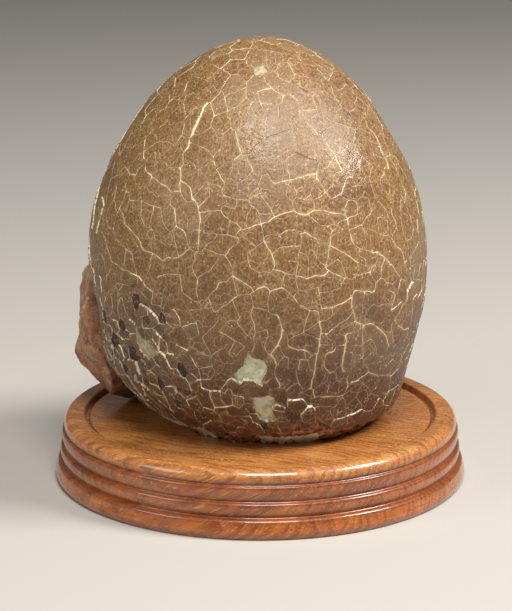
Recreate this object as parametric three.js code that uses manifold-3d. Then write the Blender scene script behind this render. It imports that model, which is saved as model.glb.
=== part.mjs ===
// A fossil dinosaur egg on its turned wooden display base.
// Millimetres, +Z up. The origin is the centre of the base's underside. -Y is the front.

import * as THREE from "three";
import { mergeVertices } from "three/addons/utils/BufferGeometryUtils.js";
import Module from "manifold-3d";

const wasm = await Module();
wasm.setup();

// ---- Driving dimensions ----

// Base: a turned disc with three mouldings, a rounded rim and a plate sunk inside the rim.
const baseRadius = 76;
const footRadius = 75;
const bellyHeight = 3;
const rimSideRadius = 72.7;
const rimTop = 23.9;
const shoulderRadius = 3.6;
const plateTop = 22.5;
const plateRadius = 63.2;
const grooveOuterRadius = 64.9;
const grooveFloor = 20.8;
const edgeRound = 0.6;
const baseSides = 72;

// Each moulding, from the foot up: the edge where it stands proud, and the quirk cut in above it.
const mouldings = [
  { edgeRadius: 75.3, edgeHeight: 5.7, quirkRadius: 73.2, quirkHeight: 7.2 },
  { edgeRadius: 74.1, edgeHeight: 11.3, quirkRadius: 72.6, quirkHeight: 12.7 },
  { edgeRadius: 73.5, edgeHeight: 17.3, quirkRadius: 72.3, quirkHeight: 18.6 },
];

// Egg: with s running from -1 at the foot of the whole oval to 1 at its crown, the half-width is
// eggRadius * sqrt(1 - s^2) * (1 + eggTaper * s^2). The foot is broken off flat on the plate: it
// leans to the right, and its ragged edge is tucked in.
const eggRadius = 61.55;
const eggHalfHeight = 82.3;
const eggCentreHeight = 80.2;
const eggTaper = -0.08;
const eggOffsetX = -0.8;
const footLean = 5.3;
const footLeanReach = 14;
const footTuck = 5.2;
const footTuckReach = 4.5;
const eggDetail = 13;

// Where the shell was crushed in or stands proud. The azimuth is in degrees from the front,
// positive to the right. The reach is how far the change spreads, and amount is outwards.
const crushes = [
  { azimuth: 99, height: 140, reach: 14, amount: -0.4 },
  { azimuth: 96, height: 128, reach: 9, amount: -2.5 },
  { azimuth: 82, height: 38, reach: 14, amount: 0.8 },
  { azimuth: 41, height: 119, reach: 10, amount: 0.9 },
  { azimuth: 40, height: 70, reach: 8, amount: -1.4 },
  { azimuth: -33, height: 131, reach: 7, amount: -1.2 },
  { azimuth: -45, height: 61, reach: 12, amount: -1.5 },
  { azimuth: -82, height: 44, reach: 12, amount: 0.8 },
  { azimuth: -88, height: 66, reach: 13, amount: -2.3 },
  { azimuth: -92, height: 92, reach: 16, amount: 0.5 },
  { azimuth: -97, height: 132, reach: 13, amount: -1.1 },
  { azimuth: -101, height: 147, reach: 9, amount: -1.4 },
  { azimuth: -106, height: 158, reach: 13, amount: -1.4 },
];

// Matrix: the lump of red mudstone still fused to the shell, low on its left and round the back.
const matrixAzimuth = -112;
const matrixDistance = 56.5;
const matrixHeight = 52;
const matrixTilt = 11;
const matrixDepth = 15;
const matrixBreadth = 31;
const matrixRise = 29.5;
const matrixDetail = 6;

// The flat breaks of the mudstone: the way each one faces in the lump's own frame (outwards,
// sideways, up), and its distance from the lump's middle.
const breaks = [
  { facing: [1.0, 0.15, 0.1], distance: 0.86 },
  { facing: [0.6, -0.75, 0.2], distance: 0.8 },
  { facing: [0.55, 0.7, 0.45], distance: 0.78 },
  { facing: [0.6, 0.1, -0.8], distance: 0.84 },
  { facing: [0.5, -0.35, 0.8], distance: 0.82 },
  { facing: [0.3, 0.85, -0.4], distance: 0.82 },
];

const cutterSize = 400;

// ---- Solids ----

// The same shape with its corners shared, as a manifold solid.
function toSolid(geometry) {
  geometry.deleteAttribute("normal");
  geometry.deleteAttribute("uv");
  const merged = mergeVertices(geometry, 1e-4);
  const vertProperties = new Float32Array(merged.attributes.position.array);
  const triVerts = new Uint32Array(merged.index.array);
  return new wasm.Manifold(new wasm.Mesh({ numProp: 3, vertProperties, triVerts }));
}

function toGeometry(solid) {
  const mesh = solid.getMesh();
  const geometry = new THREE.BufferGeometry();
  geometry.setAttribute("position", new THREE.BufferAttribute(mesh.vertProperties, 3));
  geometry.setIndex(new THREE.BufferAttribute(mesh.triVerts, 1));
  geometry.computeVertexNormals();
  return geometry;
}

// Moves every corner of a geometry by a function that changes the vector it is given.
function reshape(geometry, change) {
  const position = geometry.attributes.position;
  const point = new THREE.Vector3();
  for (let i = 0; i < position.count; i += 1) {
    point.fromBufferAttribute(position, i);
    change(point);
    position.setXYZ(i, point.x, point.y, point.z);
  }
  return geometry;
}

// ---- Egg ----

// The level direction at an azimuth.
function outwards(azimuth) {
  const angle = THREE.MathUtils.degToRad(azimuth);
  return new THREE.Vector3(Math.sin(angle), -Math.cos(angle), 0);
}

// Falls from 1 at no distance to nearly nothing at twice the reach.
function fade(distance, reach) {
  return Math.exp(-((distance / reach) ** 2));
}

// The smooth oval's surface in a unit direction.
function ovalPoint(direction) {
  const halfWidth = eggRadius * (1 + eggTaper * direction.z ** 2);
  const height = eggCentreHeight + eggHalfHeight * direction.z;
  const lean = footLean * fade(height - plateTop, footLeanReach);
  const level = halfWidth - footTuck * fade(height - plateTop, footTuckReach);
  return new THREE.Vector3(level * direction.x + eggOffsetX + lean, level * direction.y, height);
}

function crushPoint(crush) {
  const rise = (crush.height - eggCentreHeight) / eggHalfHeight;
  const direction = outwards(crush.azimuth).multiplyScalar(Math.sqrt(1 - rise ** 2));
  direction.z = rise;
  return ovalPoint(direction);
}

const crushPlaces = crushes.map((crush) => ({ ...crush, point: crushPoint(crush) }));

function toShell(direction) {
  const point = ovalPoint(direction);
  let proud = 0;
  for (const { point: centre, reach, amount } of crushPlaces) {
    proud += amount * fade(point.distanceTo(centre), reach);
  }
  point.addScaledVector(direction, proud);
  direction.copy(point);
}

// A rough ellipsoid with flat breaks, tilted to follow the shell and turned to face away from it.
function matrixGeometry() {
  const faces = breaks.map(({ facing, distance }) => ({
    normal: new THREE.Vector3(...facing).normalize(),
    distance,
  }));
  const lump = reshape(new THREE.IcosahedronGeometry(1, matrixDetail), (direction) => {
    let size = 1;
    for (const { normal, distance } of faces) {
      const facing = normal.dot(direction);
      if (facing > 0) {
        size = Math.min(size, distance / facing);
      }
    }
    direction.multiplyScalar(size);
  });
  const away = outwards(matrixAzimuth);
  const place = away.clone().multiplyScalar(matrixDistance);
  place.z = matrixHeight;
  lump.scale(matrixDepth, matrixBreadth, matrixRise);
  lump.rotateY(THREE.MathUtils.degToRad(matrixTilt));
  lump.rotateZ(Math.atan2(away.y, away.x));
  lump.translate(place.x, place.y, place.z);
  return lump;
}

function fossilGeometry() {
  const shell = toSolid(reshape(new THREE.IcosahedronGeometry(1, eggDetail), toShell));
  const matrix = toSolid(matrixGeometry());
  const belowPlate = new THREE.BoxGeometry(cutterSize, cutterSize, cutterSize);
  belowPlate.translate(0, 0, plateTop - cutterSize / 2);
  return toGeometry(shell.add(matrix).subtract(toSolid(belowPlate)));
}

// ---- Base ----

// Half of the base's section, from the axis underneath to the axis on top.
function baseProfile() {
  const profile = new THREE.Path();
  profile.moveTo(0, 0);
  profile.lineTo(footRadius, 0);
  profile.quadraticCurveTo(baseRadius, bellyHeight * 0.4, baseRadius, bellyHeight);
  for (const { edgeRadius, edgeHeight, quirkRadius, quirkHeight } of mouldings) {
    profile.lineTo(edgeRadius, edgeHeight);
    profile.quadraticCurveTo(edgeRadius, quirkHeight - 0.2, quirkRadius + edgeRound, quirkHeight - 0.1);
    profile.lineTo(quirkRadius, quirkHeight);
    profile.lineTo(quirkRadius, quirkHeight + edgeRound);
  }
  profile.lineTo(rimSideRadius, rimTop - shoulderRadius);
  profile.absarc(rimSideRadius - shoulderRadius, rimTop - shoulderRadius, shoulderRadius, 0, Math.PI / 2);
  profile.lineTo(grooveOuterRadius + edgeRound, rimTop);
  profile.lineTo(grooveOuterRadius, rimTop - edgeRound);
  profile.lineTo(grooveOuterRadius, grooveFloor);
  profile.lineTo(plateRadius, grooveFloor);
  profile.lineTo(plateRadius, plateTop - edgeRound);
  profile.lineTo(plateRadius - edgeRound, plateTop);
  profile.lineTo(0, plateTop);
  return profile.getPoints(3);
}

function baseGeometry() {
  const turned = new THREE.LatheGeometry(baseProfile(), baseSides);
  turned.rotateX(Math.PI / 2);
  return toGeometry(toSolid(turned));
}

// ---- The object ----

const fossil = new THREE.Mesh(
  fossilGeometry(),
  new THREE.MeshStandardMaterial({ color: 0x8a6b4a, roughness: 0.6, metalness: 0 }),
);
fossil.name = "fossil_egg";

const base = new THREE.Mesh(
  baseGeometry(),
  new THREE.MeshStandardMaterial({ color: 0xb47a46, roughness: 0.25, metalness: 0 }),
);
base.name = "wooden_base";

const object = new THREE.Group();
object.add(base, fossil);

export default object;
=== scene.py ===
import math
import random

import bmesh
import bpy
import numpy as np
from bpy.props import FloatProperty, FloatVectorProperty, IntProperty, PointerProperty
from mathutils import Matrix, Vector, noise
from mathutils.geometry import delaunay_2d_cdt
from mathutils.kdtree import KDTree


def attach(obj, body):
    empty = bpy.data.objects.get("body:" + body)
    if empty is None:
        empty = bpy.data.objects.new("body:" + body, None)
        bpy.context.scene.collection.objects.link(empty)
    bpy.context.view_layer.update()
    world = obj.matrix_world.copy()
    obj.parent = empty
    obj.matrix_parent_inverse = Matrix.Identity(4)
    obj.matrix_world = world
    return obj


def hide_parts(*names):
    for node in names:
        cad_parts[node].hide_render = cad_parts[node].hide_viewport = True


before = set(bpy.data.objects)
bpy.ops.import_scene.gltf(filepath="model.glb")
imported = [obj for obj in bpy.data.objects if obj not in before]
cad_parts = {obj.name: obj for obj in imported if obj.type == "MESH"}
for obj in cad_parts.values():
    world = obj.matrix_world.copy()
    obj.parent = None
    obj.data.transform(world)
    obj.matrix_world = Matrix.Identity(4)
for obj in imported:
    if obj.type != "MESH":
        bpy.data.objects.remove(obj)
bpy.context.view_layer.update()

bl_info = {
    "name": "Fossil egg on a turned base",
    "version": (1, 0, 0),
    "blender": (4, 5, 0),
    "location": "3D View > Sidebar > Fossil egg",
    "description": "Builds a crackled fossil dinosaur egg with its matrix, on a turned wooden base",
    "category": "Add Mesh",
}

# Lengths below are in millimetres and azimuths in degrees from the front, positive to the right.
# Meshes are made in metres.
MM = 0.001
PLATE_TOP = 22.5

# ---- The egg's oval ----

EGG_RADIUS = 61.55
EGG_HALF_HEIGHT = 82.3
EGG_CENTRE = 80.2
EGG_TAPER = -0.08
EGG_OFFSET_X = -0.8
FOOT_LEAN = 5.3
FOOT_LEAN_REACH = 14
FOOT_TUCK = 5.2
FOOT_TUCK_REACH = 4.5

# Where the shell was crushed in or stands proud: azimuth, height, reach, amount outwards.
CRUSHES = (
    (99, 140, 14, -0.4),
    (96, 128, 9, -2.5),
    (82, 38, 14, 0.8),
    (41, 119, 10, 0.9),
    (40, 70, 8, -1.4),
    (-33, 131, 7, -1.2),
    (-45, 61, 12, -1.5),
    (-82, 44, 12, 0.8),
    (-88, 66, 13, -2.3),
    (-92, 92, 16, 0.5),
    (-97, 132, 13, -1.1),
    (-101, 147, 9, -1.4),
    (-106, 158, 13, -1.4),
)

# ---- The cracks ----

# The open, mineral-filled cracks that carry the eye: how strong each one is, and its route as
# azimuth and height.
CRACKS = (
    (
        1.0,
        (
            (-31, 123),
            (-30, 120),
            (-26, 120),
            (-25, 116),
            (-22, 113),
            (-20, 109),
            (-20, 104),
            (-20, 100),
        ),
    ),
    (0.8, ((-30, 110), (-29, 106), (-27, 104), (-20, 103))),
    (0.6, ((-20, 100), (-23, 98), (-26, 95), (-31, 94))),
    (0.5, ((-20, 110), (-14, 111), (-9, 108), (-6, 107))),
    (0.7, ((-10, 98), (-9, 102), (-7, 105), (0, 107), (3, 108), (6, 110), (12, 111))),
    (0.8, ((12, 111), (17, 110), (22, 111), (28, 109))),
    (0.5, ((-10, 98), (-4, 100), (1, 103))),
    (0.8, ((3, 101), (5, 96), (6, 92), (12, 90), (15, 89), (20, 89))),
    (0.5, ((-2, 92), (2, 91), (6, 92))),
    (0.9, ((-7, 89), (-2, 86), (3, 86), (5, 85), (11, 86))),
    (0.6, ((5, 85), (2, 80))),
    (0.6, ((-5, 84), (-10, 80), (-14, 77), (-20, 73), (-24, 71))),
    (0.6, ((9, 85), (13, 80), (17, 77), (20, 76))),
    (0.9, ((20, 90), (20, 82), (20, 76), (21, 70), (20, 61), (20, 55), (19, 49), (21, 44))),
    (0.9, ((31, 72), (30, 67), (30, 60), (30, 54), (33, 50), (34, 47))),
    (0.9, ((7, 74), (8, 70), (7, 66), (5, 63), (6, 58), (6, 53), (8, 47), (9, 42), (6, 38))),
    (0.5, ((-2, 75), (-1, 70), (-1, 66), (-3, 61))),
    (
        1.0,
        (
            (20, 77),
            (25, 78),
            (30, 80),
            (32, 76),
            (34, 71),
            (38, 69),
            (42, 69),
            (47, 65),
            (50, 60),
        ),
    ),
    (0.8, ((30, 80), (34, 82), (40, 81))),
    (0.6, ((34, 82), (38, 87), (41, 92))),
    (0.7, ((17, 103), (20, 101), (25, 99), (31, 95), (38, 91))),
    (0.9, ((26, 103), (29, 103), (33, 99), (37, 95), (44, 94), (49, 89))),
    (0.7, ((24, 90), (26, 89), (30, 91), (32, 95))),
    (0.6, ((31, 111), (32, 104), (33, 99))),
    (0.7, ((24, 107), (26, 103))),
    (0.9, ((8, 121), (14, 122), (21, 123), (24, 119), (26, 115), (30, 115), (34, 119))),
    (0.8, ((29, 134), (31, 129), (33, 126), (33, 122), (34, 119))),
    (0.7, ((23, 145), (23, 140), (26, 136), (29, 134))),
    (0.5, ((10, 122), (14, 119), (13, 112))),
    (0.7, ((9, 149), (14, 147), (18, 148), (23, 145))),
    (0.7, ((-5, 145), (2, 145), (8, 144), (13, 146))),
    (0.6, ((-21, 141), (-13, 143), (-9, 145), (-3, 148), (6, 149))),
    (0.5, ((-2, 141), (5, 141), (12, 140), (22, 141))),
    (2.2, ((-29, 142), (-30, 137), (-32, 130))),
    (0.5, ((-32, 131), (-24, 131), (-19, 129), (-16, 124), (-13, 121))),
    (0.5, ((-12, 116), (-5, 115), (-1, 118), (3, 114))),
    (0.8, ((-56, 130), (-52, 125), (-48, 121), (-42, 119), (-35, 117), (-26, 116))),
    (0.6, ((-48, 121), (-55, 119), (-62, 120))),
    (0.6, ((-56, 112), (-57, 108), (-53, 103), (-48, 101))),
    (0.5, ((-53, 111), (-45, 111), (-37, 110), (-30, 110))),
    (0.7, ((-48, 101), (-44, 99), (-42, 96), (-38, 95), (-33, 93))),
    (0.6, ((-64, 95), (-61, 92), (-57, 88), (-50, 87), (-42, 86))),
    (0.6, ((-42, 86), (-38, 82), (-34, 80), (-33, 77), (-28, 74))),
    (0.7, ((-54, 75), (-50, 70), (-46, 67), (-42, 66), (-38, 68))),
    (0.7, ((-38, 68), (-34, 66), (-30, 64), (-25, 62))),
    (0.6, ((-33, 77), (-32, 71), (-34, 66), (-36, 61))),
    (0.9, ((-28, 52), (-24, 51), (-17, 51))),
    (0.8, ((-18, 51), (-18, 46), (-18, 40))),
    (0.9, ((-18, 46), (-12, 46), (-6, 45))),
    (0.5, ((-9, 53), (-13, 47))),
    (0.6, ((-18, 37), (-10, 37), (-4, 38))),
    (0.6, ((-48, 41), (-43, 38), (-38, 34), (-32, 33))),
    (0.6, ((-57, 47), (-51, 43), (-48, 41))),
    (0.5, ((-11, 69), (-6, 66), (-1, 66))),
    (0.8, ((-1, 66), (3, 65), (8, 66), (12, 64))),
    (0.8, ((15, 63), (20, 61), (25, 61), (30, 62))),
    (0.5, ((20, 67), (25, 70), (31, 72), (34, 73))),
    (0.6, ((36, 70), (37, 65), (38, 61), (39, 56), (43, 51))),
    (0.5, ((6, 57), (15, 55), (22, 56), (30, 54))),
    (1.0, ((35, 47), (39, 48), (45, 49), (50, 47), (57, 46))),
    (0.9, ((12, 44), (17, 44), (21, 44), (30, 43))),
    (0.6, ((30, 52), (31, 46))),
    (0.9, ((46, 69), (51, 71), (54, 67), (57, 64), (63, 62))),
    (0.6, ((51, 78), (50, 73))),
    (0.9, ((58, 88), (60, 84), (62, 80), (66, 78))),
    (0.8, ((62, 80), (64, 72), (65, 66), (63, 62))),
    (0.7, ((52, 96), (56, 92), (58, 88), (68, 92))),
    (0.45, ((66, 78), (72, 86), (70, 94), (72, 104), (66, 112), (64, 122))),
    (0.7, ((46, 125), (52, 118), (60, 122), (60, 131))),
    (0.5, ((46, 113), (50, 107), (49, 101))),
    (0.5, ((-74, 118), (-70, 108), (-72, 98), (-64, 95))),
    (0.6, ((-60, 76), (-66, 70), (-64, 60), (-70, 52))),
)

# Where the shell is missing: what shows there, how deep it lies, and the outline of the gap.
CHIPS = (
    ("infill", 1.5, ((-4, 61), (1, 60), (3, 57), (2, 54), (0, 50), (-3, 52), (-8, 54), (-5, 57))),
    ("infill", 1.7, ((-2, 45), (5, 45), (6, 42), (4, 40), (4, 35), (-2, 35), (-3, 40))),
    ("ochre", 0.5, ((-46, 62), (-39, 61), (-38, 57), (-43, 55), (-46, 58))),
    ("ochre", 0.4, ((-3, 154.6), (1, 155.4), (6, 155.2), (8, 154.0), (4, 153.0), (-2, 153.4))),
)

# Small pits where a flake has gone: azimuth, height, width.
PITS = (
    (-54, 65, 4.6),
    (-50, 55, 5.4),
    (-42, 61, 4.4),
    (-44, 52, 5.0),
    (-33, 72, 4.0),
    (-27, 54, 4.6),
    (-44, 76, 5.0),
    (-61, 58, 5.0),
    (-58, 47, 5.2),
    (-38, 46, 4.6),
    (-66, 66, 4.6),
    (-34, 39, 4.2),
    (2, 48, 3.8),
    (-1, 32, 3.2),
)

# Where the shell is broken small: azimuth, height, reach.
SHATTERED = (
    (-46, 58, 20),
    (-60, 45, 16),
    (-33, 70, 11),
    (62, 80, 7),
    (12, 36, 16),
    (-22, 38, 16),
    (150, 90, 22),
    (-160, 50, 20),
)

# Where the broken pieces have sunk in, the shell is darker and its sunken plates carry painted
# shade: azimuth, height, reach.
BRUISED = (
    (-49, 60, 13),
    (-58, 46, 12),
    (-36, 73, 7),
    (10, 34, 9),
    (-22, 38, 11),
    (-38, 48, 9),
    (150, 90, 18),
)

# Where chalky sediment shows along the foot: azimuth from and to, height from and to.
CHALK = (
    (-7, 24, 22, 26.2),
    (-39, -31, 22, 27.5),
    (-62, -44, 25, 29.5),
)

# Where the shell is wrinkled and polished: azimuth, height, reach.
WRINKLED = (
    (40, 122, 12),
    (-3, 134, 9),
    (34, 84, 6),
)

# What shows at a cell: the shell itself, or what lies below it, and how deep that lies.
MISSING = ("shell", "infill", "ochre", "pit", "foot")
MISSING_DEPTHS = {"infill": -1.3, "ochre": -0.5, "pit": -0.45, "foot": -1.0}

# The height up to which the broken foot shows, before it is frayed.
RAGGED_EDGE = 26.5

# Seeds beside a crack or an outline: how far off it, and how far apart along it.
SEED_OFFSET = 2.1
SEED_STEP = 4.2
CHIP_OFFSET = 1.2
CHIP_STEP = 2.6

# Seeds round a pit: how many, and how clear of the others.
PIT_SIDES = 6
PIT_CLEARANCE = 1.4

# Cracks are numbered from 0, and the gaps and the pits from these.
CHIP_NUMBERS = 1000
PIT_NUMBERS = 2000

# Cells, large plates and small plates: how far apart their seeds are, and how many are tried.
FINE_SPACING = 5.3
SHATTERED_SPACING = 3.9
HIDDEN_SPACING = 12.0
FINE_TRIES = 14000
BREAK_SPACING = 14.0
BREAK_TRIES = 3000
HAIRLINE_SPACING = 7.4
HAIRLINE_TRIES = 6000

# The egg's mean radius, by which a length on its surface becomes one on a unit ball.
MEAN_SCALE = 68.0

# Samples on each leg of a route, the shortest crack that shows, and the steps along a crack.
ROUTE_SAMPLES = 24
SHORTEST_CRACK = 1.1
CRACK_STEP = 1.15

# How far a loose end runs on to meet another crack, and the points that tell where it heads.
JOIN_REACH = 6.5
JOIN_TRAIL = 5

# The mesh beside a crack: from its lip to its brow, and how far filling points keep away.
BROW = 0.42
LINE_CLEARANCE = 0.6
GAP_LIMIT = 4.0

# How far apart the filling points are on the plates, and where the shell is missing.
FILL_SPACING = 1.75
CRUMB_SPACING = 1.0

# The most that a plate's tilt lifts its edge, and how far from an outline's middle it counts.
TILT_LIMIT = 0.45
CHIP_REACH = 12

# How far below the plate's top there are still small cells, filling points and lines.
HIDDEN_CELLS = 6
HIDDEN_FILL = 7
HIDDEN_LINES = 9

# Points closer than this are one point, in metres.
WELD = 0.00001

# ---- The matrix ----

# The lump's azimuth, distance from the axis and height, its tilt, its size and its mesh's step.
MATRIX_PLACE = (-112, 56.5, 51)
MATRIX_TILT = 11
MATRIX_SIZE = (14.2, 30, 27.5)
MATRIX_VOXEL = 0.7

# The way each flat break faces in the lump's own frame, and its distance from the middle.
MATRIX_BREAKS = (
    ((1.0, 0.15, 0.1), 0.86),
    ((0.6, -0.75, 0.2), 0.80),
    ((0.55, 0.7, 0.45), 0.78),
    ((0.6, 0.1, -0.8), 0.84),
    ((0.5, -0.35, 0.8), 0.82),
    ((0.3, 0.85, -0.4), 0.82),
)

# The mudstone's roughness, coarse to fine: kind, size of its features, amount.
MATRIX_ROUGHNESS = (
    ("CLOUDS", 20, 3.4),
    ("VORONOI", 9, 2.2),
    ("VORONOI", 3.6, 0.9),
    ("CLOUDS", 1.5, 0.6),
)

# ---- The base ----

# Each moulding from the foot up: radius and height of its edge, then of the quirk above it.
MOULDINGS = (
    (75.3, 5.7, 73.2, 7.2),
    (74.1, 11.3, 72.6, 12.7),
    (73.5, 17.3, 72.3, 18.6),
)
RIM_TOP = 23.9
RIM_SIDE = 72.7
SHOULDER_RADIUS = 3.6
SHOULDER_STEPS = 12
GROOVE_OUTSIDE = 64.9
GROOVE_FLOOR = 20.8
PLATE_RADIUS = 63.2

# ---- The finishes ----

# How a texture's place is scaled on each axis.
GRAIN_UPRIGHT = (1, 1, 0.7)
BEDDED = (1, 1, 0.55)
ALONG_GRAIN = (0.07, 1.0, 1.0)
ALONG_RAYS = (0.03, 1.0, 1.0)

# What a finish is multiplied by: dark plates, the shell low down (stain and painted shade), the
# base's side and its quirks (painted shade).
PLATE_TINT = (0.55, 0.52, 0.5, 1)
LOW_STAIN_AND_SHADE = (0.72, 0.57, 0.42, 1)
SIDE_PAINTED_SHADE = (0.86, 0.62, 0.40, 1)
QUIRK_PAINTED_SHADE = (0.50, 0.36, 0.28, 1)

# The shell's shine, the wood's lacquer, and the width of a year's ring.
SHELL_SPECULAR = 0.55
COAT_WEIGHT = 0.85
COAT_IOR = 1.5
YEAR_WIDTH = 2.6

# The numbers of the Mix node's sockets for colours, whose names are not their own.
MIX_FACTOR, MIX_UNDER, MIX_OVER, MIX_RESULT = 0, 6, 7, 2

# ---- The stage ----

# Each light: azimuth, elevation, distance in metres, size in metres, power in watts, colour.
LIGHTS = (
    ("right_softbox", 78, 46, 1.3, 0.42, 18.5, (1.0, 0.96, 0.91)),
    ("top_softbox", 8, 60, 1.2, 0.5, 14.2, (1.0, 0.96, 0.9)),
    ("left_fill", -60, 26, 1.4, 0.6, 5.2, (1.0, 0.96, 0.9)),
)
LIGHTS_AIM = (0, 0, 0.09)
WORLD_COLOUR = (1.0, 0.96, 0.91, 1)
WORLD_STRENGTH = 0.115
FLOOR_SIZE = 8
SENSOR_WIDTH = 36
CLIP_START = 0.01


def unit(vectors):
    """The same ways, each one long."""
    return vectors / np.linalg.norm(vectors, axis=-1, keepdims=True)


def fade(distance, reach):
    """Falls from 1 at no distance to nearly nothing at twice the reach."""
    return np.exp(-((distance / reach) ** 2))


def to_direction(azimuth, height):
    """The way to a place on the oval from its middle, as on a ball."""
    turn = np.radians(np.asarray(azimuth, float))
    rise = (np.asarray(height, float) - EGG_CENTRE) / EGG_HALF_HEIGHT
    level = np.sqrt(np.maximum(0.0, 1 - rise**2))
    return np.stack([np.sin(turn) * level, -np.cos(turn) * level, rise + 0 * turn], -1)


def on_oval(directions):
    """The places on the oval that lie in the given directions."""
    x, y, rise = directions[..., 0], directions[..., 1], directions[..., 2]
    width = EGG_RADIUS * (1 + EGG_TAPER * rise**2)
    return np.stack([width * x, width * y, EGG_CENTRE + EGG_HALF_HEIGHT * rise], -1)


def from_oval(points):
    """The direction of points that lie on the oval or close to it."""
    rise = np.clip((points[..., 2] - EGG_CENTRE) / EGG_HALF_HEIGHT, -1, 1)
    width = EGG_RADIUS * (1 + EGG_TAPER * rise**2)
    return unit(np.stack([points[..., 0] / width, points[..., 1] / width, rise], -1))


def oval_normals(points):
    squares = np.array([EGG_RADIUS, EGG_RADIUS, EGG_HALF_HEIGHT]) ** 2
    return unit((points - np.array([0, 0, EGG_CENTRE])) / squares)


def azimuths_of(directions):
    return np.degrees(np.arctan2(directions[:, 0], -directions[:, 1]))


def distances_to(points, azimuth, height):
    """How far each point is from a place on the oval."""
    return np.linalg.norm(points - on_oval(to_direction(azimuth, height)), axis=1)


def crushed(points):
    """The oval's points moved to where the crushed, leaning egg has them."""
    directions = from_oval(points)
    above = points[:, 2] - PLATE_TOP
    moved = points.copy()
    moved[:, 0] += EGG_OFFSET_X + FOOT_LEAN * fade(above, FOOT_LEAN_REACH)
    moved[:, :2] -= directions[:, :2] * (FOOT_TUCK * fade(above, FOOT_TUCK_REACH))[:, None]
    for azimuth, height, reach, amount in CRUSHES:
        pushed = amount * fade(distances_to(points, azimuth, height), reach)
        moved += directions * pushed[:, None]
    return moved


def roughness_at(points, size, seed):
    """Smooth noise from -1 to 1 at each point, with features of the given size."""
    shift = Vector((seed, seed, seed))
    return np.array([noise.noise(Vector(p) / size + shift) for p in points])


def wobble_at(points, size, seed, seed_step=1.0):
    """The same noise as a vector at each point."""
    return np.stack([roughness_at(points, size, seed + seed_step * k) for k in range(3)], -1)


def spotted(points, spots):
    """How much each point lies in any of the spots, from 0 to 1."""
    total = np.zeros(len(points))
    for azimuth, height, reach in spots:
        total += fade(distances_to(points, azimuth, height), reach)
    return np.minimum(total, 1)


# ---- The crackle: small cells over the egg, whose borders open into cracks ----


def along(route, spacing):
    """Directions at even steps along a route, and the way the route runs at each."""
    azimuths, heights = np.array(route, float).T
    ends = np.arange(len(route))
    last = len(route) - 1
    steps = np.linspace(0, last, ROUTE_SAMPLES * last + 1)
    line = on_oval(to_direction(*(np.interp(steps, ends, row) for row in (azimuths, heights))))
    reached = np.concatenate([[0], np.cumsum(np.linalg.norm(np.diff(line, axis=0), axis=1))])
    count = max(1, round(reached[-1] / spacing))
    at = (np.arange(count) + 0.5) / count * reached[-1]

    def place(distance):
        return from_oval(np.stack([np.interp(distance, reached, line[:, k]) for k in range(3)], -1))

    return place(at), unit(place(at + 0.4) - place(at - 0.4))


class Cells:
    """Seed points over the egg, each with what it knows of the crack or gap it was set for."""

    def __init__(self, seed):
        self.draw = random.Random(seed)
        self.directions = []
        self.cracks = []
        self.kinds = []

    def clear_of(self, direction, distance):
        if not self.directions:
            return True
        points = on_oval(np.array(self.directions))
        return np.min(np.linalg.norm(points - on_oval(direction), axis=1)) >= distance

    def add(self, direction, crack=None, kind=0):
        self.directions.append(direction)
        self.cracks.append(crack)
        self.kinds.append(kind)

    def line_up(self, number, route, offset=SEED_OFFSET, step=SEED_STEP, inner=0, outer=0):
        """Pairs of seeds either side of a route, so that their border runs along it."""
        places, runs = along(route, step)
        for index, (place, run) in enumerate(zip(places, runs)):
            side = np.cross(place, run) * offset / MEAN_SCALE
            pair = unit(np.array([place + side, place - side]))
            if all(self.clear_of(seed, offset * 0.75) for seed in pair):
                self.add(pair[0], (number, 0, index), inner)
                self.add(pair[1], (number, 1, index), outer)

    def add_chip(self, number, kind, outline):
        """Pairs of seeds round an outline, which is gone round with its inside on the left."""
        turned = sum(
            a[0] * b[1] - b[0] * a[1] for a, b in zip(outline, outline[1:] + outline[:1])
        )
        ring = outline if turned > 0 else outline[::-1]
        closed = tuple(ring) + (ring[0],)
        self.line_up(number, closed, offset=CHIP_OFFSET, step=CHIP_STEP, inner=kind)

    def add_pit(self, number, azimuth, height, width):
        """One seed in the pit, and a ring of them round it."""
        middle = to_direction(azimuth, height)
        if not self.clear_of(middle, width * 0.5):
            return
        self.add(middle, (number, 0, 0), MISSING.index("pit"))
        across = unit(np.cross(middle, [0, 0, 1]))
        up = np.cross(across, middle)
        turn = self.draw.uniform(0, math.tau)
        for spoke in range(PIT_SIDES):
            angle = turn + spoke * math.tau / PIT_SIDES + self.draw.uniform(-0.3, 0.3)
            reach = width * self.draw.uniform(0.75, 1.15) / MEAN_SCALE
            seed = unit(middle + (across * math.cos(angle) + up * math.sin(angle)) * reach)
            if self.clear_of(seed, PIT_CLEARANCE):
                self.add(seed, (number, 1, 0))

    def fill(self, spacing_at, tries):
        """Tries seeds at random, and keeps those that are clear of the others."""
        for _ in range(tries):
            turn = self.draw.uniform(0, math.tau)
            rise = self.draw.uniform(-1, 1)
            level = math.sqrt(1 - rise * rise)
            direction = np.array([math.cos(turn) * level, math.sin(turn) * level, rise])
            if self.clear_of(direction, spacing_at(direction)):
                self.add(direction)


def scatter(spacing, tries, seed):
    """Places at random on the oval, none closer than the spacing."""
    cells = Cells(seed)
    cells.fill(lambda _: spacing, tries)
    return on_oval(np.array(cells.directions))


def fine_spacing(direction):
    """How far apart the cells are: closer where the shell is shattered, wide out of sight."""
    point = on_oval(direction)
    if point[2] < PLATE_TOP - HIDDEN_CELLS:
        return HIDDEN_SPACING
    shattered = spotted(point[None, :], SHATTERED)[0]
    return FINE_SPACING + (SHATTERED_SPACING - FINE_SPACING) * shattered


def inside_outline(azimuths, heights, outline):
    inside = np.zeros(len(azimuths), bool)
    for (ax, ay), (bx, by) in zip(outline, outline[1:] + outline[:1]):
        if ay == by:
            continue
        between = (ay > heights) != (by > heights)
        cross = ax + (heights - ay) * (bx - ax) / (by - ay)
        inside ^= between & (azimuths < cross)
    return inside


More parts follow.
